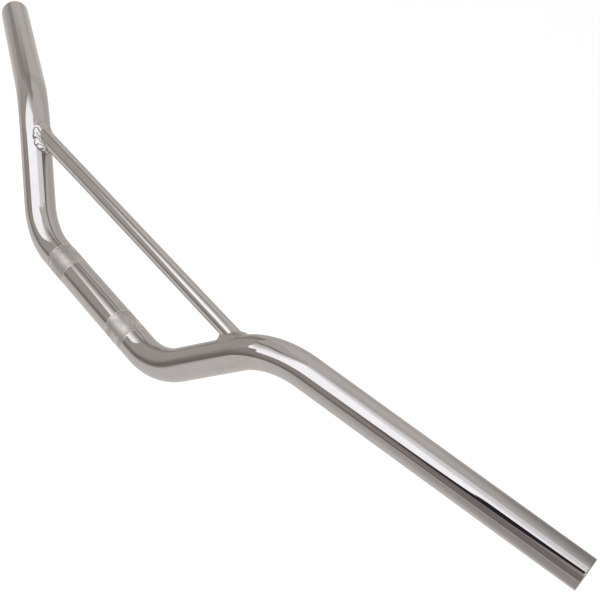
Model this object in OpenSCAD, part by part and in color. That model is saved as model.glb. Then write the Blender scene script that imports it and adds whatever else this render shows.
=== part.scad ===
// BMX handlebar: one bent tube, a coped crossbar and the two welds that hold it.
// The origin is the middle of the clamp section. +X runs along it to the rider's
// left, +Z is up and the grips sweep back towards the rider at +Y.

/* [Main tube] */
// Outer diameter of the bent tube, at the clamp section and at the grips
tube_d = 22.2; // [19:0.1:28.6]
// Wall thickness of the bent tube
tube_wall = 1.6; // [1:0.1:3]
// Centreline radius of the four bends
bend_r = 58; // [40:1:66]
// Loss of radius where the tube is drawn thin in its bends
bend_loss = 0.03; // [0.03:0.01:0.1]
// Width of the broken edge around each open tube end
end_chamfer = 0.5; // [0.2:0.1:0.8]

/* [Shape of the bar] */
// Overall width, across the outer edges of the two tube ends
bar_w = 738; // [660:1:820]
// Length of the straight clamp section between the lower bends
clamp_l = 120; // [80:1:150]
// Height of the upper corners of the centreline above the clamp section
rise = 70; // [60:1:130]
// Angle of the risers above the clamp section
riser_angle = 42.5; // [38:0.5:75]
// Angle by which the grips sweep back
back_sweep = 25.5; // [5:0.5:35]
// Angle by which the grips climb towards their ends
up_sweep = -1.5; // [-5:0.5:8]

/* [Crossbar] */
// Outer diameter of the crossbar
crossbar_d = 11; // [8:0.5:16]
// Wall thickness of the crossbar
crossbar_wall = 1.2; // [0.8:0.1:2.5]
// Depth of the crossbar's axis below the upper corners
crossbar_drop = 13.8; // [10:0.2:30]

/* [Welds] */
// Radius of the ripples that make up a weld bead
bead_r = 4.5; // [3:0.1:5]
// Depth at which the ripples are sunk where the corner is open
bead_sink = 2.3; // [0:0.1:2.6]
// Number of ripples around the weld at the rider's left
left_ripples = 20; // [16:1:30]
// Number of ripples around the weld at the rider's right
right_ripples = 14; // [10:1:24]
// Unevenness of the ripples at the rider's right
right_scatter = 0.35; // [0:0.05:0.5]

/* [Hidden] */
$fn = 96;

chrome = [0.80, 0.79, 0.77];
weld_metal = [0.66, 0.64, 0.62];

tube_r = tube_d / 2;
bore_r = tube_r - tube_wall;
crossbar_r = crossbar_d / 2;
crossbar_bore_r = crossbar_r - crossbar_wall;
// Length by which a cut runs past the piece that it opens
past = 1;
// Length by which a bend laps into the straight lengths on both sides of it
lap = 0.3;
lap_angle = lap / bend_r * 180 / PI;

// The grip's direction, and its turn and roll as seen along the riser
grip_dir = [
    cos(back_sweep) * cos(up_sweep),
    sin(back_sweep) * cos(up_sweep),
    sin(up_sweep)
];
grip_forward = grip_dir.x * cos(riser_angle) + grip_dir.z * sin(riser_angle);
grip_lift = grip_dir.z * cos(riser_angle) - grip_dir.x * sin(riser_angle);
grip_turn = acos(grip_forward);
grip_roll = atan2(-grip_dir.y, grip_lift);

// Each bend eats this much of the straight lines that meet at its corner
lower_tangent = bend_r * tan(riser_angle / 2);
upper_tangent = bend_r * tan(grip_turn / 2);

corner_x = clamp_l / 2 + lower_tangent + rise / tan(riser_angle);
end_x = bar_w / 2 - tube_r * sqrt(1 - grip_dir.x * grip_dir.x);
riser_l = rise / sin(riser_angle) - lower_tangent - upper_tangent;
grip_l = (end_x - corner_x) / grip_dir.x - upper_tangent;

// Where the crossbar's axis meets the riser's
joint_x = corner_x - crossbar_drop / tan(riser_angle);
joint_z = rise - crossbar_drop;

// A straight length along +X, then its children at the far end
module straight(r, l) {
    rotate([0, 90, 0]) cylinder(r = r, h = l);
    translate([l, 0, 0]) children();
}

// A bend from +X towards +Z, rolled about +X, then its children at the far end.
// It is a little thinner than the straight lengths and laps into them.
module bend(r, angle, roll) {
    rotate([roll, 0, 0]) {
        translate([0, 0, bend_r]) rotate([90, 0, 0]) rotate([0, 0, -90 - lap_angle])
            rotate_extrude(angle = angle + 2 * lap_angle)
                translate([bend_r, 0]) rotate(-roll) circle(r - bend_loss);
        translate([bend_r * sin(angle), 0, bend_r * (1 - cos(angle))])
            rotate([-roll, -angle, 0]) children();
    }
}

// A change of radius over the length of the broken edge
module taper(r_start, r_end) {
    rotate([0, 90, 0]) cylinder(r1 = r_start, r2 = r_end, h = end_chamfer);
    translate([end_chamfer, 0, 0]) children();
}

// One side of the bar beyond the clamp section, as a round solid of radius r
// whose last stretch changes by the width of the broken edge
module side(r, edge) {
    translate([clamp_l / 2, 0, 0])
        bend(r, riser_angle, 0)
        straight(r, riser_l)
        bend(r, grip_turn, grip_roll)
        straight(r, grip_l - end_chamfer)
        taper(r, r + edge)
        children();
}

// The whole bent bar as a round solid of radius r
module bar(r, edge) {
    rotate([0, 90, 0]) cylinder(r = r, h = clamp_l, center = true);
    for (turn = [0, 1]) mirror([turn, 0, 0]) side(r, edge) children();
}

module tube_outside() {
    bar(tube_r, -end_chamfer);
}

module tube_inside() {
    bar(bore_r, end_chamfer) straight(bore_r + end_chamfer, past);
}

// A round rod along the crossbar's axis
module crossbar_rod(r, l) {
    translate([0, 0, joint_z]) rotate([0, 90, 0]) cylinder(r = r, h = l, center = true);
}

// A point on the curve where the crossbar meets the riser, at an angle around
// the crossbar that climbs from its back over its top, with both of them thinner
// by the depth
function saddle(angle, depth) =
    let (y = (crossbar_r - depth) * cos(angle), h = (crossbar_r - depth) * sin(angle))
    [
        joint_x + h / tan(riser_angle) - sqrt(pow(tube_r - depth, 2) - y * y) / sin(riser_angle),
        y,
        joint_z + h
    ];

// How open the corner is, from 0 under the crossbar to 1 above it
function openness(angle) = 1 - pow((1 - sin(angle)) / 2, 3);

// A weld around one end of the crossbar, as ripples that overlap
module weld(ripples, scatter) {
    difference() {
        for (i = [0 : ripples - 1]) {
            angle = i * 360 / ripples;
            translate(saddle(angle, bead_sink * openness(angle)))
                sphere(r = bead_r + scatter * sin(i * 137), $fn = 32);
        }
        side(tube_r, -end_chamfer);
        crossbar_rod(crossbar_r, 2 * joint_x);
    }
}

module main_tube() {
    color(chrome) difference() {
        tube_outside();
        tube_inside();
    }
}

module crossbar() {
    color(chrome) difference() {
        crossbar_rod(crossbar_r, 2 * joint_x);
        crossbar_rod(crossbar_bore_r, 2 * (joint_x + past));
        tube_outside();
    }
}

module weld_left() {
    color(weld_metal) weld(left_ripples, 0);
}

module weld_right() {
    color(weld_metal) mirror([1, 0, 0]) weld(right_ripples, right_scatter);
}

main_tube();
crossbar();
weld_left();
weld_right();
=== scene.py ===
import itertools
import math

import bpy
from mathutils import Matrix, Vector, noise

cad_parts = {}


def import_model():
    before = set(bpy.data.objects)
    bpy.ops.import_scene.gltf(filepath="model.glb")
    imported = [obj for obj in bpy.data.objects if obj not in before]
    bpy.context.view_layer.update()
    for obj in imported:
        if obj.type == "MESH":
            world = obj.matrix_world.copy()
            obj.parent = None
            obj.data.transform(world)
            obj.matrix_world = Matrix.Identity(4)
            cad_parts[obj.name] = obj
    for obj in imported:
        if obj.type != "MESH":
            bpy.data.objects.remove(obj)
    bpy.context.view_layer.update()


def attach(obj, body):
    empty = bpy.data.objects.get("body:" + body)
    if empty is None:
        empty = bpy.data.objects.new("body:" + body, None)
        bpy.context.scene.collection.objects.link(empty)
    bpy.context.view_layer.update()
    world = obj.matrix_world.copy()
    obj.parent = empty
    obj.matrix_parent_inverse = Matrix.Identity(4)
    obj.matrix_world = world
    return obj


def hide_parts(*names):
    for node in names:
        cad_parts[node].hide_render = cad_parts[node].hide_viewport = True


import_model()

# Sizes of the bar, in metres and radians, as part.scad has them
TUBE_R = 0.0111
BORE_R = 0.0095
BEND_R = 0.058
END_ROUND = 0.0005
CLAMP_L = 0.120
BAR_W = 0.738
RISE = 0.070
RISER_ANGLE = math.radians(42.5)
BACK_SWEEP = math.radians(25.5)
UP_SWEEP = math.radians(-1.5)
CROSSBAR_R = 0.0055
CROSSBAR_BORE_R = 0.0043
CROSSBAR_DROP = 0.0138

# The blasted bands on the clamp section, as distances from its middle
BAND_START = 0.0300
BAND_END = 0.0525
BAND_RIM = 0.0005


def turned(vector, axis, angle):
    return Matrix.Rotation(angle, 3, axis) @ vector


# The bar's centreline

GRIP_DIR = Vector((
    math.cos(BACK_SWEEP) * math.cos(UP_SWEEP),
    math.sin(BACK_SWEEP) * math.cos(UP_SWEEP),
    math.sin(UP_SWEEP),
))
RISER_DIR = Vector((math.cos(RISER_ANGLE), 0, math.sin(RISER_ANGLE)))
GRIP_TURN = RISER_DIR.angle(GRIP_DIR)
LOWER_TANGENT = BEND_R * math.tan(RISER_ANGLE / 2)
UPPER_TANGENT = BEND_R * math.tan(GRIP_TURN / 2)
CORNER_X = CLAMP_L / 2 + LOWER_TANGENT + RISE / math.tan(RISER_ANGLE)
END_X = BAR_W / 2 - TUBE_R * math.sqrt(1 - GRIP_DIR.x ** 2)
RISER_L = RISE / math.sin(RISER_ANGLE) - LOWER_TANGENT - UPPER_TANGENT
GRIP_L = (END_X - CORNER_X) / GRIP_DIR.x - UPPER_TANGENT
JOINT_X = CORNER_X - CROSSBAR_DROP / math.tan(RISER_ANGLE)
JOINT_Z = RISE - CROSSBAR_DROP

STRAIGHT_STEP = 0.008
BEND_STEP = math.radians(2)
# Edges that turn by more than this are shown sharp
SHARP_ANGLE = math.radians(50)


class Walk:
    """Points and directions along one half of the centreline."""

    def __init__(self, start, direction):
        self.point = start.copy()
        self.dir = direction.copy()
        self.stations = [(self.point.copy(), self.dir.copy())]

    def keep(self):
        self.stations.append((self.point.copy(), self.dir.copy()))

    def straight(self, length):
        steps = max(1, round(length / STRAIGHT_STEP))
        for _ in range(steps):
            self.point += self.dir * (length / steps)
            self.keep()

    def bend(self, target):
        angle = self.dir.angle(target)
        axis = self.dir.cross(target).normalized()
        inward = axis.cross(self.dir)
        centre = self.point + inward * BEND_R
        steps = max(1, round(angle / BEND_STEP))
        start = self.dir.copy()
        for i in range(1, steps + 1):
            self.dir = turned(start, axis, angle * i / steps)
            self.point = centre - turned(inward, axis, angle * i / steps) * BEND_R
            self.keep()


def centreline():
    """Stations from the right end of the bar to its left end."""
    walk = Walk(Vector((0, 0, 0)), Vector((1, 0, 0)))
    walk.straight(CLAMP_L / 2)
    walk.bend(RISER_DIR)
    walk.straight(RISER_L)
    walk.bend(GRIP_DIR)
    walk.straight(GRIP_L)
    left = walk.stations
    right = [
        (Vector((-p.x, p.y, p.z)), Vector((d.x, -d.y, -d.z)))
        for p, d in reversed(left[1:])
    ]
    return right + left


def frames(stations):
    """Adds to each station a side direction that doesn't twist along the line."""
    side = stations[0][1].orthogonal().normalized()
    out = []
    before = stations[0][1]
    for point, direction in stations:
        side = before.rotation_difference(direction) @ side
        side = (side - direction * side.dot(direction)).normalized()
        out.append((point, direction, side))
        before = direction
    return out


def ring(point, direction, side, radius, count):
    """Points on a circle around a point of the line, from its side direction on."""
    other = direction.cross(side)
    step = 2 * math.pi / count
    return [
        point + radius * (math.cos(i * step) * side + math.sin(i * step) * other)
        for i in range(count)
    ]


def new_object(name, vertices, faces, smooth=True):
    mesh = bpy.data.meshes.new(name)
    mesh.from_pydata([tuple(v) for v in vertices], [], faces)
    mesh.update()
    for face in mesh.polygons:
        face.use_smooth = smooth
    mesh.set_sharp_from_angle(angle=SHARP_ANGLE)
    obj = bpy.data.objects.new(name, mesh)
    bpy.context.scene.collection.objects.link(obj)
    return obj


def loft(name, rings):
    """A skin over rings of the same length, from the last ring back to the first."""
    count = len(rings[0])
    vertices = [v for r in rings for v in r]
    faces = []
    for i in range(len(rings)):
        a, b = i * count, (i + 1) % len(rings) * count
        for j in range(count):
            k = (j + 1) % count
            faces.append((a + j, a + k, b + k, b + j))
    return new_object(name, vertices, faces)


TUBE_SIDES = 96
END_STEPS = 4
# Length beside a rounded end where the skin stays straight
END_SUPPORT = 0.0012


def end_profile():
    """The tube's rounded end from outside to bore, as pairs of a distance along
    the tube from its end and a radius."""
    turns = [math.pi / 2 * i / END_STEPS for i in range(END_STEPS + 1)]
    outer = [
        (END_ROUND * (math.sin(a) - 1), TUBE_R + END_ROUND * (math.cos(a) - 1)) for a in turns
    ]
    inner = [
        (END_ROUND * (math.cos(a) - 1), BORE_R - END_ROUND * (math.sin(a) - 1)) for a in turns
    ]
    return [(-END_SUPPORT, TUBE_R)] + outer + inner + [(-END_SUPPORT, BORE_R)]


def bent_tube():
    """The whole bent tube with its bore, as one closed skin."""
    line = frames(centreline())
    middle = line[1:-1]
    profile = end_profile()

    def circle(point, direction, side, radius, along=0):
        return ring(point + direction * along, direction, side, radius, TUBE_SIDES)

    rings = [circle(*line[0], radius, -along) for along, radius in reversed(profile)]
    rings += [circle(*station, TUBE_R) for station in middle]
    rings += [circle(*line[-1], radius, along) for along, radius in profile]
    bore_start = len(rings) - 1
    rings += [circle(*station, BORE_R) for station in reversed(middle)]
    skin = loft("bent_tube", rings)
    for face in skin.data.polygons:
        face.material_index = int(face.index // TUBE_SIDES >= bore_start)
    return skin


tube = bent_tube()
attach(tube, "root")
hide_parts("main_tube")


# The crossbar and its welds. They are worked out at the rider's left and
# mirrored to the right.

JOINT = Vector((JOINT_X, 0, JOINT_Z))
JOINT_REACH = 0.05
LINE_AT_JOINT = [p for p, _ in centreline() if (p - JOINT).length < JOINT_REACH]
MEETING_REACH = 0.04
MEETING_HALVINGS = 20
CROSSBAR_SIDES = 96
CROSSBAR_LENGTHS = 12


def mirrored(points):
    return [Vector((-p.x, p.y, p.z)) for p in points]


def nearest_axis(point):
    """The centreline's nearest point, by the left joint."""
    best = None
    for a, b in zip(LINE_AT_JOINT, LINE_AT_JOINT[1:]):
        edge = b - a
        share = min(1, max(0, (point - a).dot(edge) / edge.length_squared))
        axis = a + edge * share
        if best is None or (point - axis).length < (point - best).length:
            best = axis
    return best


def on_tube(point, depth=0):
    """A point moved onto the tube's skin, or to a depth beneath it."""
    axis = nearest_axis(point)
    return axis + (point - axis).normalized() * (TUBE_R - depth)


def meeting(radius, angle):
    """Where a line along the crossbar enters the tube, at an angle that climbs
    from the crossbar's back over its top."""
    low, high = JOINT_X - MEETING_REACH, JOINT_X
    for _ in range(MEETING_HALVINGS):
        middle = (low + high) / 2
        point = Vector((middle, radius * math.cos(angle), JOINT_Z + radius * math.sin(angle)))
        if (point - nearest_axis(point)).length > TUBE_R:
            low = middle
        else:
            high = middle
    return point


def crossbar_pipe():
    """The crossbar as one closed skin, its ends cut to the tube's skin."""
    rings = []
    turns = [2 * math.pi * i / CROSSBAR_SIDES for i in range(CROSSBAR_SIDES)]
    for radius in (CROSSBAR_R, CROSSBAR_BORE_R):
        end = [meeting(radius, a) for a in turns]
        lengths = []
        for i in range(CROSSBAR_LENGTHS + 1):
            share = 2 * i / CROSSBAR_LENGTHS - 1
            lengths.append([Vector((p.x * share, p.y, p.z)) for p in end])
        rings += lengths if radius == CROSSBAR_R else reversed(lengths)
    return loft("crossbar_pipe", rings)


crossbar = crossbar_pipe()
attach(crossbar, "root")
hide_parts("crossbar")

WELD_ROWS = 28
WELD_SINK = 0.0004
# The bead's edges lie this far under the two skins
WELD_EDGE_SINK = 0.00003
# How narrow the valleys between the ripples are
VALLEY_POWER = 2.2
# The noise that makes a bead uneven: its scale, how fast it changes across the
# bead, and what sets the noise of the height apart from the noise of the width
UNEVEN_SCALE = 2.1
UNEVEN_ACROSS = 0.4
UNEVEN_HEIGHT_SHIFT = 3


class Weld:
    """The shape of one weld. It has a number of ripples and steps to a ripple.
    leg is the width of the bead on each tube and swell its height, both in
    metres above the crossbar and, as under_leg and under_swell, below it.
    scallop and dip narrow and lower it in the valleys between ripples, crescent
    curves the ripples, in ripples, and scatter makes the bead uneven."""

    def __init__(self, *, ripples, steps, leg, under_leg, swell, under_swell, scallop, dip,
                 crescent, scatter, seed):
        self.ripples = ripples
        self.steps = steps
        self.leg = leg
        self.under_leg = under_leg
        self.swell = swell
        self.under_swell = under_swell
        self.scallop = scallop
        self.dip = dip
        self.crescent = crescent
        self.scatter = scatter
        self.seed = seed

    def under(self, angle):
        """How far the place is under the crossbar, from 0 above to 1 below."""
        return ((1 - math.sin(angle)) / 2) ** 2

    def cusp(self, angle, row):
        """0 on the crown of a ripple and 1 in the valley between two."""
        place = self.ripples * angle / (2 * math.pi) + self.crescent * (1 - (2 * row - 1) ** 2)
        return abs(2 * (place % 1) - 1) ** VALLEY_POWER

    def uneven(self, angle, row):
        across = self.seed + row * UNEVEN_ACROSS
        place = Vector((math.cos(angle), math.sin(angle), across)) * UNEVEN_SCALE
        return 1 + self.scatter * noise.noise(place)

    def section(self, angle):
        """A closed loop around the bead at an angle around the crossbar."""
        corner = meeting(CROSSBAR_R, angle)
        tube_out = (corner - nearest_axis(corner)).normalized()
        bar_out = Vector((0, math.cos(angle), math.sin(angle)))
        up_tube = (bar_out - tube_out * bar_out.dot(tube_out)).normalized()
        outward = (bar_out + tube_out).normalized()
        under = self.under(angle)
        leg = self.leg + (self.under_leg - self.leg) * under
        swell = self.swell + (self.under_swell - self.swell) * under
        points = []
        for i in range(WELD_ROWS + 1):
            row = i / WELD_ROWS
            cusp = self.cusp(angle, row)
            size = leg * self.uneven(angle, row) * (1 - self.scallop * cusp)
            bar_toe = corner - Vector((size, 0, 0))
            tube_toe = on_tube(corner + up_tube * size)
            crown = 4 * row * (1 - row)
            height = swell * self.uneven(angle, row + UNEVEN_HEIGHT_SHIFT) - self.dip * cusp
            height = height * crown - WELD_EDGE_SINK
            points.append(bar_toe.lerp(tube_toe, row) + outward * height)
        points.append(on_tube(tube_toe, WELD_SINK))
        points.append(on_tube(corner, WELD_SINK) - bar_out * WELD_SINK)
        points.append(bar_toe - bar_out * WELD_SINK)
        return points

    def build(self, name, right):
        count = self.ripples * self.steps
        rings = [self.section(2 * math.pi * i / count) for i in range(count)]
        if right:
            rings = [mirrored(r) for r in rings]
        else:
            rings.reverse()
        return loft(name, rings)


def weld_piece(name, shape, node, right):
    piece = shape.build(name, right)
    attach(piece, "root")
    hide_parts(node)
    return piece


NEAR_SHAPE = Weld(
    ripples=20, steps=12, leg=0.0042, under_leg=0.0052, swell=0.0004, under_swell=-0.0006,
    scallop=0.03, dip=0.00003, crescent=0.5, scatter=0.10, seed=5.0,
)
FAR_SHAPE = Weld(
    ripples=14, steps=16, leg=0.0038, under_leg=0.0054, swell=0.0008, under_swell=0.0004,
    scallop=0.14, dip=0.00025, crescent=0.45, scatter=0.22, seed=1.0,
)
weld_near = weld_piece("weld_smooth", NEAR_SHAPE, "weld_left", right=False)
weld_far = weld_piece("weld_rippled", FAR_SHAPE, "weld_right", right=True)


# Materials

class Nodes:
    """A material's node tree, with short calls that add nodes and link them."""

    # The colour sockets of the Mix node, which share their names with others
    MIX_COLOUR_A = 6
    MIX_COLOUR_B = 7
    MIX_COLOUR_OUT = 2

    def __init__(self, name):
        self.material = bpy.data.materials.new(name)
        self.material.use_nodes = True
        self.tree = self.material.node_tree
        self.tree.nodes.clear()
        self.out = self.tree.nodes.new("ShaderNodeOutputMaterial")

    def add(self, kind, inputs=None, **settings):
        node = self.tree.nodes.new("ShaderNode" + kind)
        for key, value in settings.items():
            setattr(node, key, value)
        for key, value in (inputs or {}).items():
            self.set(node.inputs[key], value)
        return node

    def set(self, socket, value):
        if isinstance(value, bpy.types.NodeSocket):
            self.tree.links.new(value, socket)
        else:
            socket.default_value = value

    def math(self, operation, a, b=0.0):
        return self.add("Math", {0: a, 1: b}, operation=operation).outputs[0]

    def between(self, value, low, high, to_low=0.0, to_high=1.0):
        """A smooth step from to_low to to_high as the value goes from low to high."""
        ends = {"From Min": low, "From Max": high, "To Min": to_low, "To Max": to_high}
        node = self.add("MapRange", {"Value": value, **ends}, interpolation_type="SMOOTHSTEP")
        return node.outputs["Result"]

    def mix(self, factor, a, b):
        node = self.add("Mix", data_type="RGBA")
        self.set(node.inputs["Factor"], factor)
        self.set(node.inputs[self.MIX_COLOUR_A], a)
        self.set(node.inputs[self.MIX_COLOUR_B], b)
        return node.outputs[self.MIX_COLOUR_OUT]

    def noise(self, place, scale, detail=2, roughness=0.5, distortion=0.0):
        inputs = {
            "Vector": place, "Scale": scale, "Detail": detail, "Roughness": roughness,
            "Distortion": distortion,
        }
        return self.add("TexNoise", inputs).outputs["Fac"]

    def place(self):
        """The place on the piece, in metres."""
        return self.add("TexCoord").outputs["Object"]

    def bump(self, height, strength, distance):
        inputs = {"Strength": strength, "Distance": distance, "Height": height}
        return self.add("Bump", inputs).outputs[0]

    def metal(self, colour, rough, metallic=1.0, bump=None):
        inputs = {"Base Color": colour, "Metallic": metallic, "Roughness": rough}
        if bump is not None:
            inputs["Normal"] = bump
        self.surface(self.add("BsdfPrincipled", inputs).outputs[0])

    def surface(self, shader):
        self.tree.links.new(shader, self.out.inputs["Surface"])


# Colours of the metals. The crossbar's chrome is set a little brighter than the tube's.
CHROME = (0.56, 0.55, 0.555, 1)
CHROME_DULL = (0.54, 0.53, 0.53, 1)
CROSSBAR_CHROME = (0.605, 0.595, 0.60, 1)
CROSSBAR_DULL = (0.585, 0.575, 0.575, 1)
BAND_DARK = (0.50, 0.49, 0.48, 1)
BAND_LIGHT = (0.72, 0.715, 0.71, 1)
BAND_CLOUD = (0.46, 0.45, 0.44, 1)
# Painted highlight: a light colour along the bands' edges, for the bright lines they show
BAND_RIM_HIGHLIGHT = (0.92, 0.91, 0.90, 1)
BORE_STEEL = (0.20, 0.19, 0.18, 1)
BORE_STAIN = (0.12, 0.10, 0.085, 1)
WELD_SATIN = (0.55, 0.54, 0.53, 1)
WELD_BRIGHT = (0.58, 0.57, 0.56, 1)
WELD_DULL = (0.50, 0.485, 0.47, 1)

# Scales of the patterns, as waves to the metre
HAZE_SCALE = 60
FINE_SCALE = 900
BAND_WANDER_SCALE = 250
BAND_SWIRL_SCALE = 75
BAND_CLOUD_SCALE = 160
BAND_GRIT_SCALE = 2500
BORE_SPOT_SCALE = 300
WELD_SPOT_SCALE = 700
WELD_FINE_SCALE = 2600

# The stretches of a noise's values over which a look changes
NOISE_WIDE = (0.3, 0.7)
NOISE_NARROW = (0.35, 0.65)
SWIRL_SPAN = (0.36, 0.70)
CLOUD_SPAN = (0.35, 0.75)
STAIN_SPAN = (0.4, 0.65)

# Roughness at the two ends of such a stretch
CHROME_ROUGH = (0.015, 0.035)
BAND_ROUGH = (0.46, 0.30)
BORE_ROUGH = (0.45, 0.65)
WELD_SATIN_ROUGH = (0.22, 0.30)
WELD_BRIGHT_ROUGH = (0.07, 0.14)

# How far the bands' edges wander, and half the width of their blur, in metres
BAND_WANDER = 0.0005
BAND_BLUR = 0.00015
BAND_CLOUD_SHARE = 0.35

# The weight of each pattern in a bump, and the strength of each bump with its
# depth in metres
FINE_HEIGHT = 0.02
BAND_GRIT_HEIGHT = 0.3
BAND_RIM_HEIGHT = 0.25
WELD_SPOT_HEIGHT = 0.6
WELD_FINE_HEIGHT = 0.1
CHROME_BUMP = (0.05, 0.0005)
WELD_BUMP = (0.1, 0.0002)

BORE_METALLIC = 0.8


def band_masks(n, place):
    """A mask of the two blasted bands and one of the bands' edges."""
    x = n.math("ABSOLUTE", n.add("SeparateXYZ", {0: place}).outputs["X"])
    wander = n.math("MULTIPLY", n.noise(place, BAND_WANDER_SCALE), BAND_WANDER)
    x = n.math("ADD", x, n.math("SUBTRACT", wander, BAND_WANDER / 2))
    inside = n.math(
        "MULTIPLY",
        n.between(x, BAND_START - BAND_BLUR, BAND_START + BAND_BLUR),
        n.between(x, BAND_END + BAND_BLUR, BAND_END - BAND_BLUR),
    )
    to_edge = n.math(
        "MINIMUM",
        n.math("ABSOLUTE", n.math("SUBTRACT", x, BAND_START)),
        n.math("ABSOLUTE", n.math("SUBTRACT", x, BAND_END)),
    )
    return inside, n.between(to_edge, BAND_RIM, BAND_RIM / 3)


def band_finish(n, place, rim):
    """The colour, roughness and height of the blasted bands, with a painted highlight in the
    colour along their edges.
    """
    swirl = n.noise(place, BAND_SWIRL_SCALE, detail=4, roughness=0.6, distortion=1.2)
    cloud = n.noise(place, BAND_CLOUD_SCALE, detail=3)
    grit = n.noise(place, BAND_GRIT_SCALE, detail=4, roughness=0.7)
    colour = n.mix(n.between(swirl, *SWIRL_SPAN), BAND_DARK, BAND_LIGHT)
    colour = n.mix(n.between(cloud, *CLOUD_SPAN, 0.0, BAND_CLOUD_SHARE), colour, BAND_CLOUD)
    # Painted highlight along the bands' edges; the rim's bump below is real
    colour = n.mix(rim, colour, BAND_RIM_HIGHLIGHT)
    rough = n.between(swirl, *NOISE_WIDE, *BAND_ROUGH)
    height = n.math(
        "ADD",
        n.math("MULTIPLY", grit, BAND_GRIT_HEIGHT),
        n.math("MULTIPLY", rim, BAND_RIM_HEIGHT),
    )
    return colour, rough, height


def chrome(name, bright, dull, bands=False):
    """Polished chrome, with or without the blasted bands on the clamp section."""
    n = Nodes(name)
    place = n.place()
    haze = n.noise(place, HAZE_SCALE, detail=3)
    colour = n.mix(n.between(haze, *NOISE_NARROW), bright, dull)
    rough = n.between(haze, *NOISE_WIDE, *CHROME_ROUGH)
    height = n.math("MULTIPLY", n.noise(place, FINE_SCALE), FINE_HEIGHT)
    if bands:
        inside, rim = band_masks(n, place)
        band_colour, band_rough, band_height = band_finish(n, place, rim)
        colour = n.mix(inside, colour, band_colour)
        more = n.math("MULTIPLY", inside, n.math("SUBTRACT", band_rough, rough))
        rough = n.math("ADD", rough, more)
        height = n.math("ADD", height, n.math("MULTIPLY", inside, band_height))
    n.metal(colour, rough, bump=n.bump(height, *CHROME_BUMP))
    return n.material


def bore_steel():
    """Bare steel with dark stains, inside the tube."""
    n = Nodes("bore_steel")
    spots = n.noise(n.place(), BORE_SPOT_SCALE, detail=4)
    colour = n.mix(n.between(spots, *STAIN_SPAN), BORE_STEEL, BORE_STAIN)
    n.metal(colour, n.between(spots, *NOISE_WIDE, *BORE_ROUGH), BORE_METALLIC)
    return n.material


def weld_metal(name, colour, rough_span):
    """Thin, uneven plating over a weld."""
    n = Nodes(name)
    place = n.place()
    spots = n.noise(place, WELD_SPOT_SCALE, detail=3)
    fine = n.noise(place, WELD_FINE_SCALE)
    tint = n.mix(n.between(spots, *NOISE_NARROW), colour, WELD_DULL)
    height = n.math(
        "ADD",
        n.math("MULTIPLY", spots, WELD_SPOT_HEIGHT),
        n.math("MULTIPLY", fine, WELD_FINE_HEIGHT),
    )
    rough = n.between(spots, *NOISE_WIDE, *rough_span)
    n.metal(tint, rough, bump=n.bump(height, *WELD_BUMP))
    return n.material


tube.data.materials.append(chrome("chrome_bar", CHROME, CHROME_DULL, bands=True))
tube.data.materials.append(bore_steel())
crossbar.data.materials.append(chrome("chrome_plain", CROSSBAR_CHROME, CROSSBAR_DULL))
weld_near.data.materials.append(weld_metal("weld_satin", WELD_SATIN, WELD_SATIN_ROUGH))
weld_far.data.materials.append(weld_metal("weld_bright", WELD_BRIGHT, WELD_BRIGHT_ROUGH))


# The camera, at the photograph's angle. Its place and turn come from fitting
# the bar's edges to the outline in the photograph.

CAMERA_PLACE = Vector((0.75978, -0.68145, 0.41578))
CAMERA_RIGHT = Vector((0.555624, 0.695773, 0.455171))
CAMERA_UP = Vector((-0.547285, -0.106065, 0.830198))
CAMERA_LENS = 96.69
CAMERA_SENSOR = 36
CAMERA_NEAREST = 0.05
CAMERA_FARTHEST = 100

camera_data = bpy.data.cameras.new("camera")
camera_data.lens = CAMERA_LENS
camera_data.sensor_width = CAMERA_SENSOR
camera_data.clip_start = CAMERA_NEAREST
camera_data.clip_end = CAMERA_FARTHEST
camera = bpy.data.objects.new("camera", camera_data)
bpy.context.scene.collection.objects.link(camera)
camera_turn = Matrix((CAMERA_RIGHT, CAMERA_UP, CAMERA_RIGHT.cross(CAMERA_UP))).transposed()
camera.matrix_world = Matrix.Translation(CAMERA_PLACE) @ camera_turn.to_4x4()
bpy.context.scene.camera = camera
bpy.context.scene.view_settings.view_transform = "Standard"


# The studio: a pale floor well below the bar, a soft lamp, and cards around the
# bar for its chrome to show. In the photograph the bar lies on its clamp section
# and its two ends, so the cards are placed about that table's upright. Angles
# around the table start at the rider's left and go by way of the rider.

TABLE_UP = Vector((0, -0.5475, 0.8368)).normalized()
TABLE_SIDE = Vector((1, 0, 0))
TABLE_BACK = TABLE_UP.cross(TABLE_SIDE)
CARD_DISTANCE = 2.5
TABLE_DISTANCE = 1.5
NEAR_DISTANCE = 0.7


def card_material(name, colour, soft):
    """An even glow. soft gives the shares of the card's width and height over
    which it fades out: at its start, end, bottom and top."""
    n = Nodes(name)
    glow = n.add("Emission", {"Color": (*colour, 1), "Strength": 1.0})
    if not soft:
        n.surface(glow.outputs[0])
        return n.material
    uv = n.add("SeparateXYZ", {0: n.add("UVMap", uv_map="UVMap").outputs[0]})
    mask = 1.0
    for axis, (low, high) in zip("XY", (soft[:2], soft[2:])):
        value = uv.outputs[axis]
        if low:
            mask = n.math("MULTIPLY", mask, n.between(value, 0.0, low))
        if high:
            mask = n.math("MULTIPLY", mask, n.between(value, 1.0, 1.0 - high))
    clear = n.add("BsdfTransparent")
    mixed = n.add("MixShader", {0: mask, 1: clear.outputs[0], 2: glow.outputs[0]})
    n.surface(mixed.outputs[0])
    return n.material


# The size of a card's faces, in degrees, and the fewest of them each way
CARD_STEP = 4
CARD_LEAST = 2
# Each card lies this much nearer than the one before, so that none cuts another
CARD_GAP = 0.01
FLAG_STEPS = 8
card_numbers = itertools.count(1)


def height_at(line, around):
    """The height of a line of points at an angle around the table."""
    if around <= line[0][0]:
        return line[0][1]
    for (a, low), (b, high) in zip(line, line[1:]):
        if around <= b:
            return low + (high - low) * (around - a) / (b - a)
    return line[-1][1]


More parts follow.
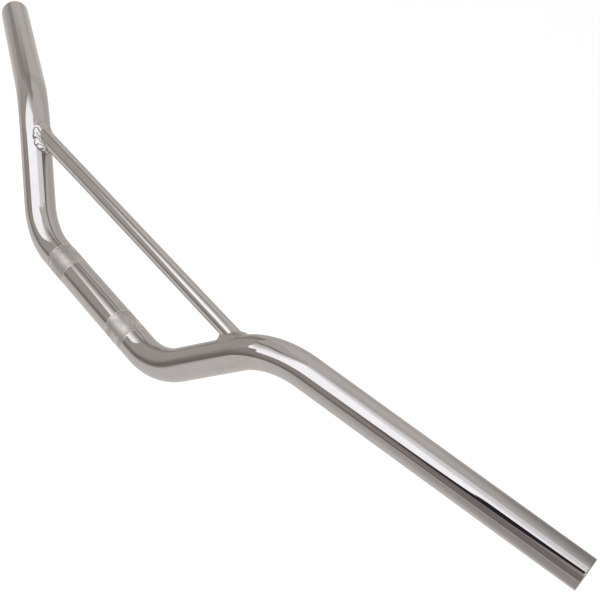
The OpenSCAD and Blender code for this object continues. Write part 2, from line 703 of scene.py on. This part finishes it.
def card_grid(name, across, up, place, colour, soft):
    """A card of across by up faces, seen only in reflections. place gives the
    point at a corner of the faces from its column and row."""
    vertices, uvs, faces = [], [], []
    for j in range(up + 1):
        for i in range(across + 1):
            vertices.append(place(i, j))
            uvs.append((i / across, j / up))
            if i < across and j < up:
                a = j * (across + 1) + i
                faces.append((a, a + 1, a + across + 2, a + across + 1))
    obj = new_object(name, vertices, faces)
    layer = obj.data.uv_layers.new(name="UVMap")
    for loop in obj.data.loops:
        layer.data[loop.index].uv = uvs[loop.vertex_index]
    obj.data.materials.append(card_material(name, colour, soft))
    obj.visible_camera = False
    obj.visible_diffuse = False
    obj.visible_shadow = False
    obj.visible_volume_scatter = False


def card(name, around, heights, colour, soft=None, distance=CARD_DISTANCE):
    """A curved card. around is its stretch around the table in degrees, and
    heights holds its lower and upper edge, each an angle above the table or a
    list of such angles by the angle around."""
    distance -= CARD_GAP * next(card_numbers)
    low, high = [h if isinstance(h, list) else [(0, h)] for h in heights]
    across = max(CARD_LEAST, round((around[1] - around[0]) / CARD_STEP))
    up = max(CARD_LEAST, round((high[0][1] - low[0][1]) / CARD_STEP))

    def place(i, j):
        turn = around[0] + (around[1] - around[0]) * i / across
        foot = height_at(low, turn)
        lift = foot + (height_at(high, turn) - foot) * j / up
        a, b = math.radians(turn), math.radians(lift)
        flat = math.cos(a) * TABLE_SIDE + math.sin(a) * TABLE_BACK
        return distance * (math.cos(b) * flat + math.sin(b) * TABLE_UP)

    card_grid(name, across, up, place, colour, soft)


def flag(name, height, near, far, colour, soft):
    """A flat card at a height above the table between two lines of points, each
    a distance to the rider's left and one towards the rider. near is its bottom
    and far its top."""

    def place(i, j):
        x = near[i][0] + (far[i][0] - near[i][0]) * j / FLAG_STEPS
        y = near[i][1] + (far[i][1] - near[i][1]) * j / FLAG_STEPS
        return x * TABLE_SIDE + y * TABLE_BACK + height * TABLE_UP

    card_grid(name, len(near) - 1, FLAG_STEPS, place, colour, soft)


# The table, the walls with their dark gaps and corners, and the table's edge.
# Their places and the levels of their light come from the stripes that the
# photograph shows on the chrome.
card("card_table", (-180, 180), (-90, -4), (0.79, 0.745, 0.715), distance=TABLE_DISTANCE)
card("card_wall", (-180, 180), (-6, 90), (0.74, 0.69, 0.65))
card("card_back_wall", (60, 175), (-8, 36), (0.635, 0.59, 0.555), soft=(0.1, 0, 0, 0.5))
FAR_WALL_LOW = [(135, -24), (142, -28), (165, -26)]
card(
    "card_far_wall", (60, 207), (FAR_WALL_LOW, -4), (0.63, 0.585, 0.55),
    soft=(0.1, 0.1, 0.3, 0), distance=TABLE_DISTANCE,
)
card(
    "card_far_shade", (138, 190), (-16, -4), (0.50, 0.465, 0.44),
    soft=(0.3, 0.2, 0.6, 0), distance=TABLE_DISTANCE,
)
card("card_left_wall", (-200, -120), (-8, 54), (0.53, 0.48, 0.44), soft=(0.08, 0.1, 0.05, 0.25))
card("card_left_corner", (-196, -180), (-8, 16), (0.36, 0.33, 0.315), soft=(0.1, 0.6, 0.1, 0.5))
card("card_dark_gap", (-207, -178), (0, 50), (0.36, 0.325, 0.305), soft=(0.2, 0.65, 0.1, 0.1))
card(
    "card_dark_gap_top", (-218, -180), (42, 70), (0.38, 0.345, 0.325),
    soft=(0.45, 0.5, 0.2, 0.65),
)
card("card_dark_wall", (-135, -35), (-7, 44), (0.42, 0.37, 0.34), soft=(0.1, 0.1, 0.05, 0))
card("card_darker_wall", (-71, -35), (-7, 34), (0.27, 0.24, 0.23), soft=(0.25, 0, 0.05, 0.1))
TABLE_EDGE = (0.26, 0.225, 0.21)
card("card_table_edge", (-152, -35), (-7, 18), TABLE_EDGE, soft=(0.16, 0.1, 0.1, 0.75))
card(
    "card_table_fade", (-143, -106), (-18, -3), TABLE_EDGE,
    soft=(0.55, 0.4, 0.9, 0), distance=TABLE_DISTANCE,
)
card(
    "card_table_shade", (-92, -30), (-80, -5), (0.45, 0.41, 0.39),
    soft=(0.55, 0.1, 0.1, 0.05), distance=TABLE_DISTANCE,
)

# The softbox and its dimmer end, with lower edges by the angle around
SOFTBOX_HIGH = 86
SOFTBOX_LOW = [
    (-180, 44), (-174, 43), (-159, 41.5), (-151, 39.5), (-145, 36), (-140, 33), (-131, 29),
    (-127, 30), (-122, 33.5), (-118, 33), (-111, 24), (-100, 26), (-90, 30), (-75, 33),
    (-63, 36), (-54, 40), (-45, 47), (-35, 55), (-25, 57.5), (-10, 61),
]
SOFTBOX_END_LOW = [
    (-63, 36), (-54, 40), (-45, 47), (-35, 55), (-25, 57.5), (-10, 59), (20, 60), (35, 58),
    (50, 52), (60, 48),
]
card(
    "card_softbox_end", (-70, 70), (SOFTBOX_END_LOW, SOFTBOX_HIGH), (1.09, 1.08, 1.09),
    soft=(0.1, 0.2, 0.06, 0.15),
)
card(
    "card_softbox", (-185, -2), (SOFTBOX_LOW, SOFTBOX_HIGH), (1.60, 1.60, 1.63),
    soft=(0.2, 0.2, 0.02, 0.15),
)

# A dark card for the photographer, and a wall that stands nearer
PHOTOGRAPHER_LOW = [
    (-72, 28), (-65, 28), (-61, 29), (-57, 32), (-55, 32.5), (-50, 37), (-46, 41), (-40, 45),
    (-36, 48), (-31, 52), (-26, 56),
]
PHOTOGRAPHER_HIGH = [
    (-72, 37), (-67, 38.5), (-62, 39), (-58, 40), (-55, 42.5), (-50, 46.5), (-46, 52),
    (-42, 55.5), (-38, 56), (-31, 56), (-26, 57),
]
card(
    "card_photographer", (-72, -26), (PHOTOGRAPHER_LOW, PHOTOGRAPHER_HIGH),
    (0.03, 0.025, 0.035), soft=(0.33, 0, 0.1, 0.1),
)
FORE_WALL_HIGH = [(20, 50), (40, 52), (60, 44), (75, 32), (85, 22), (92, 14)]
card(
    "card_fore_wall", (20, 92), (-30, FORE_WALL_HIGH), (0.34, 0.315, 0.30),
    soft=(0.1, 0.35, 0.2, 0.45), distance=NEAR_DISTANCE,
)

# A flag that keeps the softbox off the upper side of the near upper bend, and
# its dark rim. The flag reaches as far beyond the rim's line as it starts before it.
FLAG_HEIGHT = 0.122
FLAG_NEAR = [
    (0.076, -0.060), (0.097, -0.060), (0.115, -0.052), (0.130, -0.040), (0.143, -0.030),
    (0.154, -0.024), (0.164, -0.015), (0.174, 0.000), (0.182, 0.018), (0.190, 0.033),
    (0.197, 0.045),
]
RIM_HEIGHT = 0.12
RIM_LINE = [
    (0.051, 0.017), (0.079, 0.018), (0.102, 0.015), (0.119, 0.018), (0.134, 0.017),
    (0.148, 0.017), (0.157, 0.021), (0.168, 0.030), (0.176, 0.038), (0.183, 0.049),
    (0.189, 0.055),
]
RIM_WIDTH = 0.016
FLAG_FAR = [(2 * r[0] - n[0], 2 * r[1] - n[1]) for n, r in zip(FLAG_NEAR, RIM_LINE)]
RIM_NEAR = [(x, y - RIM_WIDTH / 2) for x, y in RIM_LINE]
RIM_FAR = [(x, y + RIM_WIDTH / 2) for x, y in RIM_LINE]
flag("card_flag", FLAG_HEIGHT, FLAG_NEAR, FLAG_FAR, (0.64, 0.60, 0.57), (0.1, 0.1, 0.5, 0.1))
flag("card_rim", RIM_HEIGHT, RIM_NEAR, RIM_FAR, (0.22, 0.20, 0.19), (0.1, 0.6, 0.5, 0.5))

# A flag beside the near grip, which keeps the softbox's end off the grip's top
GRIP_FLAG_NEAR = [
    (0.189, 0.048), (0.248, 0.082), (0.314, 0.112), (0.382, 0.134), (0.450, 0.156),
]
GRIP_FLAG_FAR = [
    (0.168, 0.100), (0.225, 0.136), (0.285, 0.172), (0.345, 0.210), (0.410, 0.240),
]
flag(
    "card_grip_flag", FLAG_HEIGHT, GRIP_FLAG_NEAR, GRIP_FLAG_FAR, (0.68, 0.64, 0.61),
    (0.1, 0.5, 0.25, 0.5),
)


# The world's strength where neither the camera nor a reflection sees it
WORLD_LEVEL = 0.6
FLOOR_Z = -1.7
FLOOR_HALF = 30
FLOOR_COLOUR = (0.9, 0.9, 0.9, 1)
FLOOR_GLOW = 0.45
LAMP_PLACE = Vector((0.3, -0.6, 2.2))
LAMP_SIZE = 2.0
LAMP_POWER = 130
WHITE = (1, 1, 1, 1)


def world():
    """White to the camera and to reflections, and dimmer as a light."""
    w = bpy.data.worlds.new("studio")
    w.use_nodes = True
    tree = w.node_tree
    tree.nodes.clear()
    out = tree.nodes.new("ShaderNodeOutputWorld")
    back = tree.nodes.new("ShaderNodeBackground")
    path = tree.nodes.new("ShaderNodeLightPath")
    seen = path.outputs["Is Camera Ray"]
    for other in ("Is Glossy Ray", "Is Transmission Ray"):
        most = tree.nodes.new("ShaderNodeMath")
        most.operation = "MAXIMUM"
        tree.links.new(seen, most.inputs[0])
        tree.links.new(path.outputs[other], most.inputs[1])
        seen = most.outputs[0]
    level = tree.nodes.new("ShaderNodeMapRange")
    level.inputs["To Min"].default_value = WORLD_LEVEL
    level.inputs["To Max"].default_value = 1.0
    tree.links.new(seen, level.inputs["Value"])
    back.inputs["Color"].default_value = WHITE
    tree.links.new(level.outputs["Result"], back.inputs["Strength"])
    tree.links.new(back.outputs[0], out.inputs["Surface"])
    bpy.context.scene.world = w


def floor():
    """A pale floor that glows only for the camera, reflections and what is seen
    through glass, and keeps the bar's shadow."""
    corners = [
        (x * FLOOR_HALF, y * FLOOR_HALF, FLOOR_Z) for x, y in ((-1, -1), (1, -1), (1, 1), (-1, 1))
    ]
    obj = new_object("floor", corners, [(0, 1, 2, 3)], smooth=False)
    n = Nodes("floor")
    path = n.add("LightPath").outputs
    seen = n.math("MAXIMUM", path["Is Camera Ray"], path["Is Glossy Ray"])
    seen = n.math("MAXIMUM", seen, path["Is Transmission Ray"])
    plain = n.add("BsdfDiffuse", {"Color": FLOOR_COLOUR})
    glow = n.add("Emission", {"Color": WHITE, "Strength": n.math("MULTIPLY", seen, FLOOR_GLOW)})
    n.surface(n.add("AddShader", {0: plain.outputs[0], 1: glow.outputs[0]}).outputs[0])
    obj.data.materials.append(n.material)


def lamp():
    """A soft lamp above the bar and aimed at it, which reflections don't see."""
    data = bpy.data.lights.new("lamp_above", "AREA")
    data.shape = "RECTANGLE"
    data.size = LAMP_SIZE
    data.size_y = LAMP_SIZE
    data.energy = LAMP_POWER
    obj = bpy.data.objects.new("lamp_above", data)
    bpy.context.scene.collection.objects.link(obj)
    obj.location = LAMP_PLACE
    obj.rotation_mode = "QUATERNION"
    obj.rotation_quaternion = (-LAMP_PLACE).to_track_quat("-Z", "Y")
    obj.visible_glossy = False


world()
floor()
lamp()
